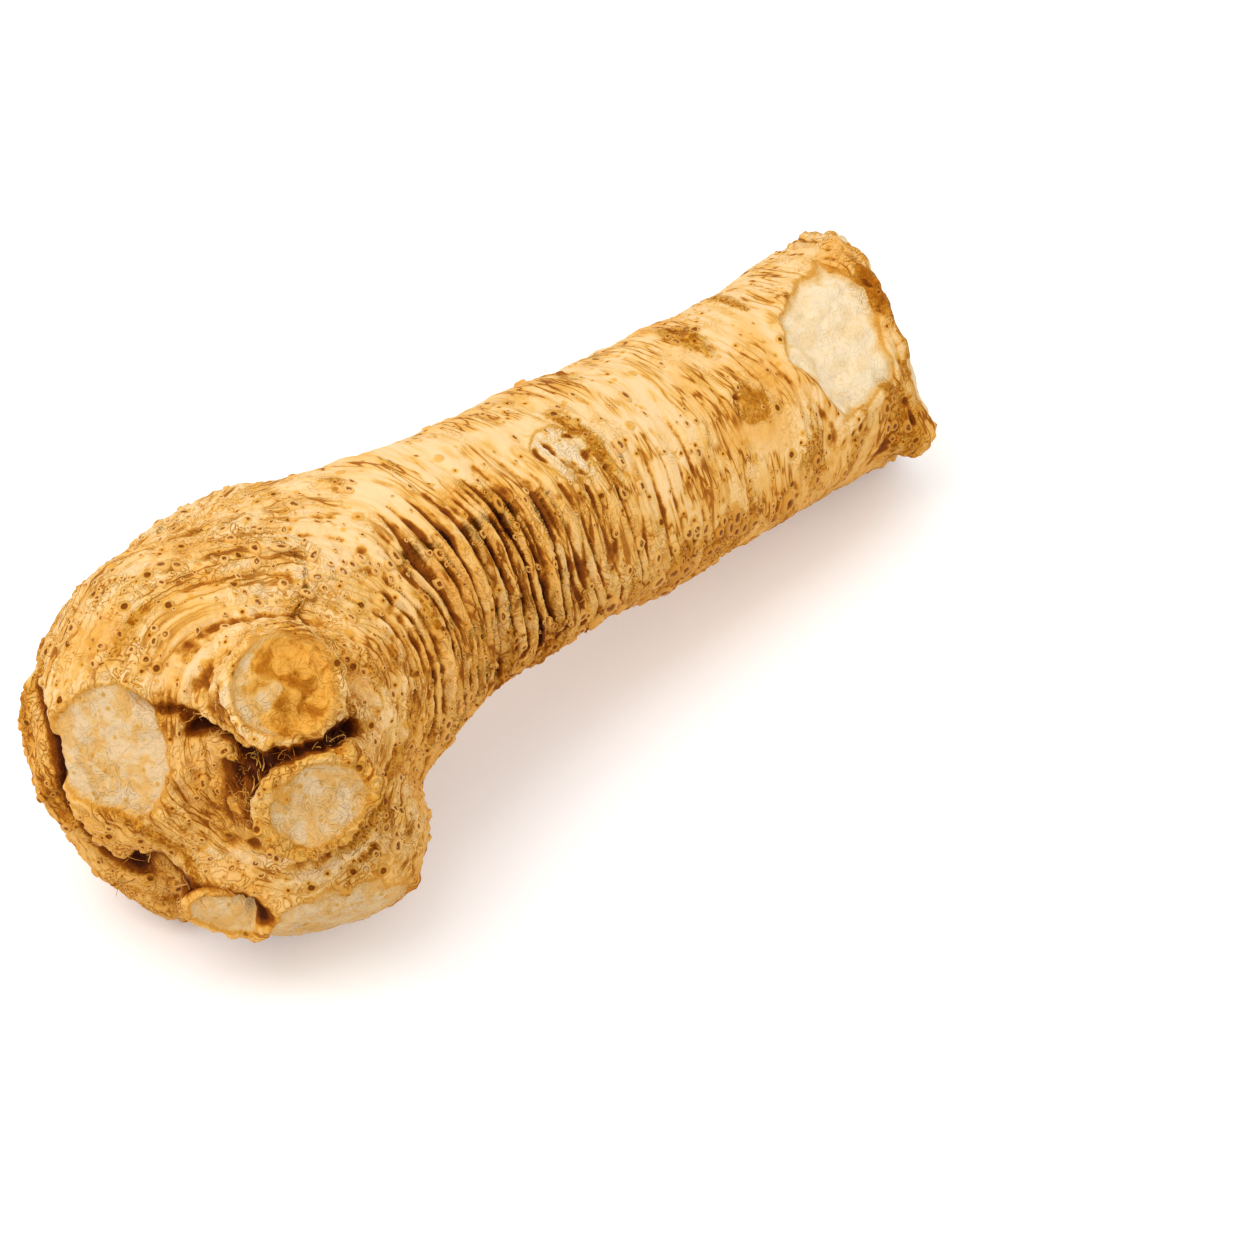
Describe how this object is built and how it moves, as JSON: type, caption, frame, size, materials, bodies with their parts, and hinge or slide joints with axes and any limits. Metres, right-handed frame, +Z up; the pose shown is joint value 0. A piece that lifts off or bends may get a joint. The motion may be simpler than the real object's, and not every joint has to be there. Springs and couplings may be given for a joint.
{
  "type": "horseradish root",
  "caption": "Whole horseradish root lying on its side: a wrinkled tan shaft, a swollen crown with knife-trimmed shoot stubs, and a tail cut off slantwise.",
  "frame": {"origin": "on the surface that the root lies on, under the middle of its box", "axes": "+X along the shaft from the crown to the tail, +Z up, +Y away from the side with the shoot stubs"},
  "size_m": [0.2146, 0.077, 0.0727],
  "materials": {
    "root_skin": "matte"
  },
  "bodies": {
    "root": {"root": "root_skin"}
  },
  "joints": []
}
